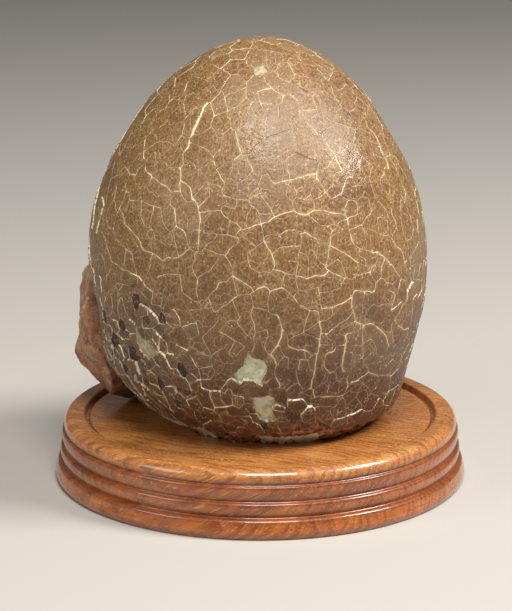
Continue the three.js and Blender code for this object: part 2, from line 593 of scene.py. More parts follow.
def make_cells(seed):
    """The cells' directions, what crack each was set for, and what shows at each."""
    cells = Cells(seed)
    for number, (kind, _, outline) in enumerate(CHIPS):
        cells.add_chip(CHIP_NUMBERS + number, MISSING.index(kind), outline)
    for number, (azimuth, height, width) in enumerate(PITS):
        cells.add_pit(PIT_NUMBERS + number, azimuth, height, width)
    for number, (_, route) in enumerate(CRACKS):
        cells.line_up(number, route)
    cells.fill(fine_spacing, FINE_TRIES)
    directions = np.array(cells.directions)
    kinds = np.array(cells.kinds)
    points = on_oval(directions)
    azimuths = azimuths_of(directions)
    for kind, _, outline in CHIPS:
        kinds[inside_outline(azimuths, points[:, 2], outline)] = MISSING.index(kind)
    frayed = 1.6 * roughness_at(points, 7.0, 3.1) + 1.2 * roughness_at(points, 3.0, 8.7)
    front = fade(azimuths - 15, 40)
    ragged_edge = RAGGED_EDGE + 3.0 * front + frayed
    kinds[(points[:, 2] < ragged_edge) & (kinds == 0)] = MISSING.index("foot")
    return directions, cells.cracks, kinds


def hull_triangles(directions):
    """The triangles of the hull round points on a ball, each turning left seen from outside."""
    mesh = bmesh.new()
    for direction in directions:
        mesh.verts.new(direction)
    mesh.verts.index_update()
    bmesh.ops.convex_hull(mesh, input=mesh.verts)
    mesh.faces.ensure_lookup_table()
    triangles = []
    for face in mesh.faces:
        a, b, c = (corner.index for corner in face.verts)
        outwards = np.cross(directions[b] - directions[a], directions[c] - directions[a])
        triangles.append((a, b, c) if outwards @ directions[a] > 0 else (a, c, b))
    mesh.free()
    return triangles


def nearest(points, centres):
    """The number of the centre that each point is closest to."""
    return np.array([np.argmin(np.linalg.norm(centres - point, axis=1)) for point in points])


def across_crack(crack_a, crack_b):
    """Whether two cells lie on the two sides of one crack, next to each other along it."""
    if crack_a is None or crack_b is None:
        return False
    (number_a, side_a, place_a), (number_b, side_b, place_b) = crack_a, crack_b
    return number_a == number_b and side_a != side_b and abs(place_a - place_b) <= 1


def crack_strengths(directions, cracks, kinds, pairs, seed):
    """How strongly each border between two cells is cracked: 0 where the cells are one plate."""
    draw = random.Random(seed)
    points = on_oval(directions)
    wander = wobble_at(points, 9.0, 20.0)
    shattered = spotted(points, SHATTERED)
    breaks = scatter(BREAK_SPACING, BREAK_TRIES, seed + 1)
    plates = nearest(points + 3.0 * wander, breaks)
    finer = scatter(HAIRLINE_SPACING, HAIRLINE_TRIES, seed + 2)
    hairlines = nearest(points + 1.5 * wander, finer)
    azimuths = azimuths_of(directions)
    front = 1 / (1 + np.exp((np.abs(azimuths) - 74) / 5))
    patchy = 0.5 + 0.5 * roughness_at(points, 22.0, 41.0)
    strengths = {}
    for a, b in pairs:
        chance = draw.random()
        amount = draw.random()
        if kinds[a] != kinds[b]:
            strength = 0.3 + 0.3 * amount
        elif kinds[a] != 0:
            strength = 0.0
        elif across_crack(cracks[a], cracks[b]) and cracks[a][0] < len(CRACKS):
            strength = CRACKS[cracks[a][0]][0] * (0.8 + 0.2 * amount)
        else:
            beside = cracks[a] is not None or cracks[b] is not None
            broken = 0.5 * (shattered[a] + shattered[b])
            seen = 0.5 * (front[a] + front[b])
            strength = 0.0
            if plates[a] != plates[b] and chance > (0.45 if beside else 0.08):
                low = 0.35 - 0.15 * seen + 0.15 * broken
                strength = low + (0.6 - 0.15 * seen) * amount * patchy[a]
            elif hairlines[a] != hairlines[b] and chance > (0.5 if beside else 0.12):
                strength = 0.12 + 0.4 * amount * patchy[b] + 0.25 * broken * amount
            elif chance > (0.8 if beside else 0.5) - 0.7 * broken:
                strength = 0.04 + 0.2 * amount + (0.12 + 0.3 * amount) * broken
        strengths[a, b] = strength
    return strengths


class Crackle:
    """The crack lines as strings of points, with the plate that lies on each side of them."""

    def __init__(self, seed):
        self.directions, cracks, self.kinds = make_cells(seed)
        self.face = {}
        triangles = hull_triangles(self.directions)
        for number, (a, b, c) in enumerate(triangles):
            for i, j in ((a, b), (b, c), (c, a)):
                self.face[i, j] = number
        corners = np.array(triangles)
        p, q, r = (self.directions[corners[:, k]] for k in range(3))
        middles = on_oval(unit(np.cross(q - p, r - p)))
        pairs = sorted((a, b) for a, b in self.face if a < b)
        self.strength = crack_strengths(self.directions, cracks, self.kinds, pairs, seed + 5)
        self.meet(middles, pairs)
        self.string(pairs)
        self.relax()
        self.merge(pairs)

    def meet(self, middles, pairs):
        """Draws together the ends of cracks too short to show."""
        root = list(range(len(middles)))

        def top(i):
            while root[i] != i:
                i = root[i]
            return i

        for a, b in pairs:
            start, end = self.face[b, a], self.face[a, b]
            short = np.linalg.norm(middles[start] - middles[end]) < SHORTEST_CRACK
            if self.strength[a, b] > 0 and short:
                root[top(start)] = top(end)
        self.root = [top(i) for i in range(len(middles))]
        sums = np.zeros((len(middles), 3))
        counts = np.zeros(len(middles))
        np.add.at(sums, self.root, middles)
        np.add.at(counts, self.root, 1)
        self.junctions = sums / np.maximum(counts, 1)[:, None]

    def string(self, pairs):
        """Lays points along every open border, and notes the cell to the left of each link."""
        points = []
        number = {}
        weights = []
        self.left = {}
        for a, b in pairs:
            start, end = self.root[self.face[b, a]], self.root[self.face[a, b]]
            strength = self.strength[a, b]
            if strength == 0 or start == end:
                continue
            for junction in (start, end):
                if junction not in number:
                    number[junction] = len(points)
                    points.append(self.junctions[junction])
                    weights.append([])
            line = self.junctions[end] - self.junctions[start]
            count = max(1, round(np.linalg.norm(line) / CRACK_STEP))
            run = [number[start]]
            for step in range(1, count):
                run.append(len(points))
                points.append(self.junctions[start] + line * step / count)
                weights.append([strength])
            run.append(number[end])
            for here, following in zip(run, run[1:]):
                self.left[here, following] = a
                self.left[following, here] = b
            weights[run[0]].append(strength)
            weights[run[-1]].append(strength)
        self.points = on_oval(from_oval(np.array(points)))
        self.weight = np.array([max(w) for w in weights])
        self.count_neighbours()
        self.reach_out()
        self.count_neighbours()

    def count_neighbours(self):
        self.beside = [[] for _ in self.points]
        for here, following in self.left:
            self.beside[here].append(following)
        self.degree = np.array([len(b) for b in self.beside])

    def reach_out(self):
        """Runs cracks that stop just short of another on until they meet it."""
        near = Near(self.points)
        fresh = []
        weights = []
        joined = set()
        for tip in np.flatnonzero(self.degree == 1):
            tip = int(tip)
            trail = [tip, self.beside[tip][0]]
            while len(trail) < JOIN_TRAIL and self.degree[trail[-1]] == 2:
                trail.append(next(n for n in self.beside[trail[-1]] if n != trail[-2]))
            goal = self.goal_of(trail, near)
            if goal is None or (goal, tip) in joined:
                continue
            joined.add((tip, goal))
            cell = self.left[trail[1], tip]
            way = self.points[goal] - self.points[tip]
            count = max(1, round(float(np.linalg.norm(way)) / CRACK_STEP))
            run = [tip]
            for step in range(1, count):
                run.append(len(self.points) + len(fresh))
                fresh.append(self.points[tip] + way * step / count)
                weights.append(self.weight[tip] * 0.85)
            run.append(goal)
            for here, following in zip(run, run[1:]):
                self.left.setdefault((here, following), cell)
                self.left.setdefault((following, here), cell)
        self.points = np.concatenate([self.points, on_oval(from_oval(np.array(fresh)))])
        self.weight = np.concatenate([self.weight, weights])

    def goal_of(self, trail, near):
        """The point that a crack would run on to: close to its tip, and straight ahead."""
        tip = trail[0]
        ahead = unit(self.points[tip] - self.points[trail[-1]])
        best, goal = 9.0, None
        for other in near.within(self.points[tip], JOIN_REACH):
            if other in trail or any(other in self.beside[n] for n in trail):
                continue
            way = self.points[other] - self.points[tip]
            distance = float(np.linalg.norm(way))
            straightness = float(way @ ahead) / max(distance, 0.01)
            cost = distance * (1.7 - straightness)
            if straightness > 0.1 and cost < best:
                best, goal = cost, other
        return goal

    def relax(self):
        """Takes the corners out of the lines between their junctions, then roughens them finely."""
        free = np.where(self.degree == 2, 1.0, np.where(self.degree > 2, 0.35, 0.0))
        i, j = np.array(list(self.left)).T
        for step in range(2):
            sums = np.zeros_like(self.points)
            np.add.at(sums, i, self.points[j])
            pull = sums / self.degree[:, None] - self.points
            amount = 0.5 if step % 2 == 0 else -0.52
            self.points = self.points + pull * (amount * free)[:, None]
        for size, reach in ((9.0, 0.5), (3.4, 0.4), (1.8, 0.34)):
            self.points = self.points + wobble_at(self.points, size, size, 5.0) * reach
        self.points = on_oval(from_oval(self.points))
        fine = roughness_at(self.points, 4.0, 60.0)
        coarse = roughness_at(self.points, 12.0, 63.0)
        self.weight = self.weight * np.maximum(1 + 0.6 * fine + 0.5 * coarse, 0.3)
        self.taper()

    def taper(self):
        """Thins out the cracks towards their loose ends."""
        for tip in np.flatnonzero(self.degree == 1):
            previous, here, share = -1, int(tip), 0.0
            while share < 1:
                self.weight[here] *= share
                onward = [n for n in self.beside[here] if n != previous]
                if len(onward) != 1 or self.degree[onward[0]] != 2:
                    break
                previous, here = here, onward[0]
                share += 0.3

    def merge(self, pairs):
        """Numbers the plates: cells with no crack between them are one plate."""
        root = list(range(len(self.directions)))

        def top(i):
            while root[i] != i:
                root[i] = root[root[i]]
                i = root[i]
            return i

        for a, b in pairs:
            if self.strength[a, b] == 0:
                root[top(a)] = top(b)
        self.plate = np.array([top(i) for i in range(len(root))])

    def corners(self):
        """The ways into the plates round each point: point, direction, stretch, cell."""
        normals = oval_normals(self.points)
        for number, neighbours in enumerate(self.beside):
            normal = normals[number]
            level = (0.0, 0.0, 1.0) if abs(normal[2]) < 0.9 else (0.0, 1.0, 0.0)
            across = unit(np.cross(level, normal))
            up = np.cross(normal, across)
            ways = [(self.points[n] - self.points[number], n) for n in neighbours]
            turns = sorted((math.atan2(way @ up, way @ across) % math.tau, n) for way, n in ways)
            for k, (turn, neighbour) in enumerate(turns):
                spread = (turns[(k + 1) % len(turns)][0] - turn) % math.tau or math.tau
                cell = self.left[number, neighbour]
                if len(turns) == 1:
                    choices = [(turn + math.tau * q / 4, 1.0) for q in (1, 2, 3)]
                elif spread < 0.6:
                    choices = []
                else:
                    stretch = min(1.5, 1 / max(0.3, math.sin(spread / 2)))
                    choices = [(turn + spread / 2, stretch)]
                    if spread > 4.0:
                        choices = [(turn + spread * q, 1.0) for q in (0.3, 0.7)]
                for angle, stretch in choices:
                    yield number, across * math.cos(angle) + up * math.sin(angle), stretch, cell


# ---- The shell's mesh ----


class Near:
    """Finds the points of a set that lie near a place."""

    def __init__(self, points):
        self.tree = KDTree(len(points))
        for number, point in enumerate(points):
            self.tree.insert(point, number)
        self.tree.balance()

    def closest(self, place):
        _, number, distance = self.tree.find(place)
        return number, distance

    def within(self, place, reach):
        return [number for _, number, _ in self.tree.find_range(place, reach)]


class ShellMesh:
    """The shell's points: along the cracks, beside them on each plate, and even in between."""

    def __init__(self, crackle, seed):
        self.crackle = crackle
        line = crackle.points
        links = np.array([pair for pair in crackle.left if pair[0] < pair[1]])
        samples = np.concatenate([line, (line[links[:, 0]] + line[links[:, 1]]) / 2])
        self.lines = Near(samples)
        self.settle_plates(seed)
        self.lay_sides()
        self.lay_between()
        self.join(links)

    def settle_plates(self, seed):
        """Gives every plate its tone, and its small lift and tilt out of the egg's surface."""
        draw = random.Random(seed)
        crackle = self.crackle
        cells = on_oval(crackle.directions)
        count = len(cells)
        middles = np.zeros((count, 3))
        sizes = np.zeros(count)
        np.add.at(middles, crackle.plate, cells)
        np.add.at(sizes, crackle.plate, 1)
        self.middles = middles / np.maximum(sizes, 1)[:, None]
        broken = spotted(self.middles, SHATTERED)
        self.tones = np.array([draw.random() for _ in range(count)])
        self.lifts = np.array([draw.gauss(0, 1) for _ in range(count)]) * (0.06 + 0.44 * broken)
        slopes = np.array([[draw.gauss(0, 1) for _ in range(3)] for _ in range(count)])
        self.slopes = slopes * (0.008 + 0.028 * broken)[:, None]
        for plate in np.flatnonzero(crackle.kinds):
            kind = MISSING[crackle.kinds[plate]]
            self.slopes[plate] = 0
            self.lifts[plate] = MISSING_DEPTHS[kind]
            for name, depth, outline in CHIPS:
                reach = np.linalg.norm(outline_middle(outline) - self.middles[plate])
                if name == kind and reach < CHIP_REACH:
                    self.lifts[plate] = -depth

    def plate_heights(self, places, plates):
        """How far the plates stand out of the oval at each place."""
        tilt = np.sum((places - self.middles[plates]) * self.slopes[plates], axis=1)
        return self.lifts[plates] + np.clip(tilt, -TILT_LIMIT, TILT_LIMIT)

    def lay_sides(self):
        """Points on both sides of the cracks: the lip of each, and the brow a little further."""
        crackle = self.crackle
        places, gaps, cracks, cells = [], [], [], []
        self.touching = [set() for _ in crackle.points]
        for number, way, stretch, cell in crackle.corners():
            self.touching[number].add(int(crackle.plate[cell]))
            weight = crackle.weight[number]
            lip = 0.05 + 0.15 * weight
            offsets = (lip, lip + BROW) if weight > 0.16 else (lip + 0.05, lip + BROW * 1.3)
            for offset in offsets:
                place = crackle.points[number] + way * offset * stretch
                if any(n != number for n in self.lines.within(place, offset * 0.84)):
                    continue
                places.append(place)
                gaps.append(offset)
                cracks.append(weight)
                cells.append(cell)
        places = on_oval(from_oval(np.array(places)))
        near = Near(places)
        kept = np.ones(len(places), bool)
        for number, place in enumerate(places):
            if kept[number]:
                for other in near.within(place, 0.3 * gaps[number]):
                    if other > number:
                        kept[other] = False
        self.sides = places[kept]
        self.side_gaps = np.array(gaps)[kept]
        self.side_cracks = np.array(cracks)[kept]
        self.side_plates = crackle.plate[np.array(cells)[kept]]

    def lay_between(self):
        """An even spread of points over the plates, closer where the shell is missing."""
        near = Near(self.sides)
        places, gaps, plates = [], [], []
        kinds = self.crackle.kinds
        for spacing, missing in ((FILL_SPACING, False), (CRUMB_SPACING, True)):
            for place in even_spread(spacing):
                if place[2] < PLATE_TOP - HIDDEN_FILL:
                    continue
                side, reach = near.closest(place)
                plate = self.side_plates[side]
                if reach < spacing * 0.5 or (kinds[plate] != 0) != missing:
                    continue
                gap = self.lines.closest(place)[1]
                if gap < LINE_CLEARANCE:
                    continue
                places.append(place)
                gaps.append(min(gap, GAP_LIMIT))
                plates.append(plate)
        self.between = np.array(places)
        self.between_gaps = np.array(gaps)
        self.between_plates = np.array(plates)

    def join(self, links):
        """Joins all the points into triangles, with every crack kept along their edges."""
        crackle = self.crackle
        count = len(crackle.points)
        self.places = np.concatenate([crackle.points, self.sides, self.between])
        self.gaps = np.concatenate([np.zeros(count), self.side_gaps, self.between_gaps])
        self.cracks = np.concatenate(
            [crackle.weight, self.side_cracks, np.zeros(len(self.between))]
        )
        floor = np.array([self.line_height(number) for number in range(count)])
        plates = np.concatenate([self.side_plates, self.between_plates])
        self.heights = np.concatenate([floor, self.plate_heights(self.places[count:], plates)])
        lowest = np.array([
            min(self.touching[number], key=lambda plate: self.lifts[plate], default=0)
            for number in range(count)
        ])
        self.plates = np.concatenate([lowest, plates])
        used = np.flatnonzero(self.places[:, 2] > PLATE_TOP - HIDDEN_LINES)
        rank = {int(number): k for k, number in enumerate(used)}
        directions = from_oval(self.places[used])
        flat = directions[:, :2] / (1 + directions[:, 2:3])
        edges = [(rank[a], rank[b]) for a, b in links.tolist() if a in rank and b in rank]
        found, _, triangles, origins = delaunay_2d_cdt(
            [Vector(p) for p in flat], edges, [], 0, 1e-8
        )[:4]
        source = []
        nearby = None
        for place, known in zip(found, origins):
            if known:
                source.append(int(used[known[0]]))
            else:
                nearby = nearby or Near(np.concatenate([flat, np.zeros((len(flat), 1))], 1))
                source.append(int(used[nearby.closest((place[0], place[1], 0))[0]]))
        self.source = np.array(source)
        self.faces = [tuple(triangle) for triangle in triangles]
        across = np.array([tuple(place) for place in found])
        square = np.sum(across**2, axis=1, keepdims=True)
        directions = np.concatenate([2 * across, 1 - square], 1) / (1 + square)
        self.placed = on_oval(directions)

    def line_height(self, number):
        """How high the bottom of a crack lies: a little below the lowest plate beside it."""
        plates = np.array(sorted(self.touching[number]))
        if len(plates) == 0:
            return 0.0
        crackle = self.crackle
        places = np.repeat(crackle.points[number][None, :], len(plates), axis=0)
        dip = 0.02 if crackle.degree[number] == 1 else 0.08 + 0.26 * crackle.weight[number]
        return float(np.min(self.plate_heights(places, plates))) - dip

    def finished(self):
        """Places on the crushed egg, faces, and the marks that the material reads."""
        places = self.placed
        kinds = self.crackle.kinds[self.plates]
        marks = {kind: (kinds == number) * 1.0 for number, kind in enumerate(MISSING) if number}
        marks.update(gap=self.gaps, crack=self.cracks, tone=self.tones[self.plates])
        marks["polish"] = spotted(self.places, WRINKLED)
        bruised = np.clip(spotted(self.places, BRUISED) * 1.3, 0, 1)
        marks["bruise"] = bruised
        # Painted shade: plates lying low in the broken zones are painted towards the pits' dark
        # colour, the more the lower they lie.
        marks["sunk"] = np.clip(0.25 - self.lifts[self.plates] * 2.0, 0, 1) * bruised
        marks["chalk"] = chalky(self.places)
        marks = {name: values[self.source] for name, values in marks.items()}
        heights = self.heights[self.source]
        heights = heights + 0.10 * roughness_at(places, 7.0, 11.0)
        heights += 0.06 * roughness_at(places, 2.6, 17.0)
        heights += 0.28 * spotted(places, WRINKLED) * roughness_at(places, 3.6, 23.0)
        missing = np.maximum(marks["infill"], marks["foot"])
        heights += missing * 0.7 * roughness_at(places, 2.2, 29.0)
        heights += marks["foot"] * 1.1 * roughness_at(places, 4.0, 31.0)
        shape = crushed(places + oval_normals(places) * heights[:, None])
        return shape, self.faces, marks


def chalky(places):
    """How chalky the foot is at each place, from 0 to 1."""
    directions = from_oval(places)
    azimuths = azimuths_of(directions)
    azimuths = azimuths + 3 * roughness_at(places, 4.0, 71.0)
    heights = places[:, 2] + 1.2 * roughness_at(places, 3.0, 73.0)
    chalk = np.zeros(len(places))
    for start, end, low, high in CHALK:
        between = (azimuths > start) & (azimuths < end)
        chalk[between & (heights > low) & (heights < high)] = 1
    return chalk


def even_spread(spacing):
    """Places spread evenly over the oval, on one long spiral."""
    count = int(4 * math.pi / (0.866 * (spacing / MEAN_SCALE) ** 2))
    step = np.arange(count) + 0.5
    rise = 1 - 2 * step / count
    turn = math.pi * (1 + 5**0.5) * step
    level = np.sqrt(1 - rise**2)
    return on_oval(np.stack([np.cos(turn) * level, np.sin(turn) * level, rise], -1))


def outline_middle(outline):
    """The place on the oval that is the middle of an outline's corners."""
    azimuths, heights = np.array(outline, float).T
    return on_oval(to_direction(azimuths.mean(), heights.mean()))


# ---- Work shared by the pieces ----


def start_fresh():
    """Leaves nothing selected, so that the next operator acts on the new piece alone."""
    if bpy.context.object and bpy.context.object.mode != "OBJECT":
        bpy.ops.object.mode_set(mode="OBJECT")
    bpy.ops.object.select_all(action="DESELECT")


def new_piece(name, points, faces, edges=()):
    start_fresh()
    mesh = bpy.data.meshes.new(name)
    mesh.from_pydata([tuple(p) for p in points], list(edges), faces)
    piece = bpy.data.objects.new(name, mesh)
    bpy.context.collection.objects.link(piece)
    piece.select_set(True)
    bpy.context.view_layer.objects.active = piece
    return piece


def name_piece(name):
    piece = bpy.context.object
    piece.name = name
    piece.data.name = name
    return piece


def apply_place():
    bpy.ops.object.transform_apply(location=True, rotation=True, scale=True)


def belong(piece, node, material):
    piece.data.materials.clear()
    piece.data.materials.append(material)
    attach(piece, "root")
    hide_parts(node)


# ---- Materials ----


def paint(red, green, blue):
    """A colour given as it looks on a screen, 0 to 255, as the shader wants it."""

    def linear(value):
        share = value / 255
        return share / 12.92 if share <= 0.04045 else ((share + 0.055) / 1.055) ** 2.4

    return (linear(red), linear(green), linear(blue), 1.0)


class Socket:
    """An output in a material that can be used in sums. Each sum adds its Math node."""

    def __init__(self, maker, output):
        self.maker = maker
        self.output = output

    def sum(self, operation, *values):
        return self.maker.node("ShaderNodeMath", dict(enumerate(values)), operation=operation)

    def __add__(self, other):
        return self.sum("ADD", self, other)

    __radd__ = __add__

    def __sub__(self, other):
        return self.sum("SUBTRACT", self, other)

    def __rsub__(self, other):
        return self.sum("SUBTRACT", other, self)

    def __mul__(self, other):
        return self.sum("MULTIPLY", self, other)

    __rmul__ = __mul__

    def __truediv__(self, other):
        return self.sum("DIVIDE", self, other)

    def limited(self):
        return self.sum("MINIMUM", self.sum("MAXIMUM", self, 0.0), 1.0)


class Finish:
    """A material being made: its nodes, and the surface they end in."""

    def __init__(self, name):
        self.material = bpy.data.materials.new(name)
        self.material.use_nodes = True
        self.nodes = self.material.node_tree.nodes
        self.links = self.material.node_tree.links
        self.surface = self.nodes["Principled BSDF"]
        self.place = self.node("ShaderNodeTexCoord", {}, output="Object")

    def node(self, kind, inputs, output=0, **settings):
        """Adds a node, feeds its inputs and gives the output asked for."""
        made = self.nodes.new(kind)
        for name, value in settings.items():
            setattr(made, name, value)
        for name, value in inputs.items():
            self.feed(made.inputs[name], value)
        return Socket(self, made.outputs[output])

    def feed(self, socket, value):
        if isinstance(value, Socket):
            self.links.new(value.output, socket)
        else:
            socket.default_value = value

    def set(self, **values):
        for name, value in values.items():
            self.feed(self.surface.inputs[name.replace("_", " ").title()], value)

    def mark(self, name):
        return self.node("ShaderNodeAttribute", {}, output="Fac", attribute_name=name)

    def mix(self, under, over, share, way="MIX"):
        """One colour over another, by the share given."""
        inputs = {MIX_FACTOR: share, MIX_UNDER: under, MIX_OVER: over}
        return self.node(
            "ShaderNodeMix", inputs, output=MIX_RESULT, data_type="RGBA", blend_type=way
        )

    def coats(self, under, *coats):
        """Lays coats over a colour in order, each given as its colour and its share."""
        for over, share in coats:
            under = self.mix(under, over, share)
        return under

    def tint(self, under, colour, share):
        return self.mix(under, colour, share, "MULTIPLY")

    def axis(self, name, place=None):
        return self.node("ShaderNodeSeparateXYZ", {0: place or self.place}, output=name)

    def scaled(self, place, factors):
        """The place times a factor on each axis: a small factor draws a texture out."""
        return self.node("ShaderNodeVectorMath", {0: place, 1: factors}, operation="MULTIPLY")

    def step(self, value, low, high):
        """Rises smoothly from 0 at low to 1 at high."""
        return self.node(
            "ShaderNodeMapRange",
            {"Value": value, "From Min": low, "From Max": high},
            interpolation_type="SMOOTHSTEP",
        )

    def clouds(self, size, detail, place=None, rough=0.5, twist=0.0):
        """Noise whose features are about size millimetres across."""
        return self.node(
            "ShaderNodeTexNoise",
            {
                "Vector": place or self.place,
                "Scale": 1 / (size * MM),
                "Detail": detail,
                "Roughness": rough,
                "Distortion": twist,
            },
        )

    def webs(self, size, place):
        """Distance from the nearest line of a fine crackle, in millimetres."""
        line = self.node(
            "ShaderNodeTexVoronoi",
            {"Vector": place, "Scale": 1 / (size * MM)},
            feature="DISTANCE_TO_EDGE",
        )
        return line * size

    def shaken(self, size, amount):
        """The place, moved about by noise of the given size, by amount millimetres."""
        wobble = self.node(
            "ShaderNodeTexNoise",
            {"Vector": self.place, "Scale": 1 / (size * MM), "Detail": 2.0},
            output="Color",
        )
        centred = self.node(
            "ShaderNodeVectorMath", {0: wobble, 1: (0.5, 0.5, 0.5)}, operation="SUBTRACT"
        )
        moved = self.node(
            "ShaderNodeVectorMath", {0: centred, "Scale": 2 * amount * MM}, operation="SCALE"
        )
        return self.node("ShaderNodeVectorMath", {0: self.place, 1: moved}, operation="ADD")

    def raise_by(self, height, distance):
        """Feeds the surface's normal from a height, with its full swing in millimetres."""
        bumped = self.node(
            "ShaderNodeBump", {"Height": height, "Distance": distance * MM, "Strength": 1.0}
        )
        self.feed(self.surface.inputs["Normal"], bumped)


def plain_shell(finish, settings, grain, blotches):
    """The shell before its cracks: its browns, the stain and painted shade low down, painted shade
    on sunken plates, and each plate's own tone.
    """
    upright = finish.scaled(finish.place, GRAIN_UPRIGHT)
    mottle = finish.clouds(2.4, 5.0, place=upright, rough=0.75)
    patches = finish.clouds(26, 4.0, twist=0.6)
    reddish = finish.clouds(17, 4.0)
    low = 1 - finish.step(finish.axis("Z"), 0.026, 0.100)
    golden = 1 - finish.step(finish.axis("X"), -0.045, 0.02)
    stain_and_painted_shade = 0.62 + 0.5 * finish.step(blotches, 0.4, 0.65)
    tone = finish.mark("tone")
    shell = finish.coats(
        settings.shell_colour,
        (settings.shell_dark, finish.step(patches, 0.45, 0.75) * 0.5),
        (settings.shell_olive, (finish.step(blotches, 0.48, 0.7) * 0.5 + golden * 0.4).limited()),
        (settings.shell_pale, finish.step(grain, 0.5, 0.66) * 0.75),
        (settings.shell_dark, finish.step(1 - grain, 0.5, 0.64) * 0.85),
        (settings.shell_rust, (low * stain_and_painted_shade).limited()),
        (settings.shell_rust, finish.step(mottle, 0.54, 0.64) * 0.34),
        (settings.shell_pale, finish.step(1 - mottle, 0.55, 0.66) * 0.3),
        (settings.shell_rust, finish.step(reddish, 0.52, 0.66) * 0.28),
        (settings.shell_rust, finish.step(tone, 0.72, 0.8) * 0.1),
        (settings.shell_grey, finish.step(1 - tone, 0.68, 0.76) * 0.3),
    )
    # Stain and painted shade: the shell low down is multiplied darker and redder, and its
    # dark-toned plates are darkened more there.
    shell = finish.tint(shell, PLATE_TINT, ((0.4 + 0.35 * low) * (1 - tone)).limited())
    shell = finish.tint(shell, LOW_STAIN_AND_SHADE, low)
    return finish.coats(
        shell,
        (settings.shell_dark, finish.mark("bruise") * 0.5),
        # Painted shade on the sunken plates.
        (settings.pit_colour, finish.mark("sunk") * 0.75),
    )


def crack_line(finish, gap, crack):
    """The filled crack itself: how much of it lies at a place, and how bright it is there."""
    beads = finish.clouds(1.6, 4.0, rough=0.7)
    half_width = (0.045 + 0.145 * crack) * (0.25 + 1.6 * beads)
    line = 1 - finish.step(gap / half_width, 0.55, 1.3)
    worn = finish.step(finish.clouds(2.4, 4.0, rough=0.7), 0.36, 0.58)
    return line, ((0.58 + 0.6 * crack) * (0.5 + 0.66 * worn)).limited()


def below_shell(finish, settings):
    """What shows where the shell is missing: infill, bare inner shell, the foot, and the pits."""
    pale_infill = finish.step(finish.clouds(3.6, 4.0, rough=0.65), 0.38, 0.54)
    dirt = finish.step(finish.clouds(2.4, 4.0), 0.6, 0.72) * 0.3
    infill = finish.coats(
        settings.infill_colour, (settings.infill_pale, pale_infill), (settings.shell_dark, dirt)
    )
    rubbed = finish.step(finish.clouds(1.5, 4.0, rough=0.7), 0.42, 0.6) * 0.5
    bare = finish.mix(settings.ochre_colour, settings.infill_pale, rubbed)
    crumb = finish.clouds(2.2, 4.0, rough=0.7)
    crumbs = finish.coats(
        settings.shell_rust,
        (settings.mudstone_colour, finish.step(crumb, 0.42, 0.6)),
        (settings.shell_pale, finish.step(finish.clouds(1.6, 3.0), 0.54, 0.64) * 0.8),
        (settings.pit_colour, finish.step(1 - crumb, 0.55, 0.66) * 0.9),
    )
    dust = finish.step(finish.clouds(1.4, 4.0, rough=0.7), 0.52, 0.64) * 0.5
    dusty = finish.mix(settings.pit_colour, settings.shell_pale, dust)
    return infill, bare, crumbs, dusty


def eggshell_finish(settings):
    finish = Finish("fossil_eggshell")
    gap = finish.mark("gap")
    crack = finish.mark("crack")
    grain = finish.clouds(0.72, 4.0, place=finish.scaled(finish.place, GRAIN_UPRIGHT), rough=0.72)
    blotches = finish.clouds(8, 5.0, rough=0.6)
    fleck = finish.clouds(0.7, 2.0)
    hair = finish.webs(4.2, finish.shaken(2.5, 0.5))
    hair_seen = finish.step(finish.clouds(5, 3.0), 0.42, 0.58)
    hair_line = (1 - finish.step(hair, 0.03, 0.16)) * hair_seen
    fine = finish.webs(2.0, finish.shaken(1.2, 0.3))
    fine_seen = finish.step(finish.clouds(4, 3.0, rough=0.7), 0.5, 0.62)
    fine_line = (1 - finish.step(fine, 0.02, 0.12)) * fine_seen
    line, bright = crack_line(finish, gap, crack)
    halo = (1 - finish.step(gap, 0.2, 1.3)) * crack * 0.3
    infill, bare, crumbs, dusty = below_shell(finish, settings)
    shell = finish.coats(
        plain_shell(finish, settings, grain, blotches),
        (settings.hairline_colour, (hair_line * 0.7 + fine_line * 0.5).limited()),
        (settings.crack_colour, finish.step(fleck, 0.67, 0.74) * 0.7),
        (settings.shell_pale, halo),
        (settings.crack_colour, line * bright),
        (infill, finish.mark("infill")),
        (bare, finish.mark("ochre") * 0.85),
        (crumbs, finish.mark("foot")),
        (settings.infill_pale, finish.step(finish.mark("chalk"), 0.3, 0.7) * 0.9),
        (dusty, finish.step(finish.mark("pit"), 0.3, 0.9)),
    )
    matt = (finish.mark("infill") + finish.mark("foot") + finish.mark("pit") + line).limited()
    polish = finish.mark("polish")
    rough = 0.34 + 0.14 * blotches + 0.12 * grain + matt * 0.3 - 0.22 * polish
    finish.set(base_color=shell, roughness=rough.limited())
    folds = finish.clouds(4.0, 3.0, rough=0.6, twist=1.2) * (0.5 + 1.6 * polish)
    height = 0.5 * finish.clouds(2.0, 3.0) + 0.35 * grain + folds - 0.25 * hair_line
    finish.raise_by(height, 0.26)
    finish.surface.inputs["Specular IOR Level"].default_value = SHELL_SPECULAR
    return finish.material


def mudstone_finish(settings):
    finish = Finish("red_mudstone")
    lumps = finish.clouds(14, 5.0, rough=0.6)
    streaks = finish.clouds(3.0, 4.0, place=finish.scaled(finish.place, BEDDED), rough=0.65)
    grain = finish.clouds(1.0, 4.0, rough=0.75)
    spots = finish.clouds(6, 4.0, rough=0.65)
    height = finish.axis("Z")
    stone = finish.coats(
        settings.mudstone_colour,
        (settings.mudstone_dark, finish.step(lumps, 0.5, 0.66) * 0.6),
        (settings.mudstone_pink, finish.step(streaks, 0.48, 0.64) * 0.65),
        (settings.mudstone_dark, finish.step(1 - streaks, 0.54, 0.68) * 0.45),
        (settings.infill_colour, finish.step(spots, 0.58, 0.66) * 0.5),
        (settings.infill_colour, finish.step(height, 0.066, 0.076) * 0.35),
        (settings.shell_rust, (1 - finish.step(height, 0.026, 0.036)) * 0.7),
        (settings.mudstone_dark, finish.step(1 - grain, 0.52, 0.66) * 0.6),
        (settings.infill_pale, finish.step(grain, 0.58, 0.7) * 0.5),
    )
    finish.set(base_color=stone, roughness=0.86)
    finish.raise_by(0.8 * grain + 0.7 * streaks + 0.5 * spots, 0.8)
    return finish.material


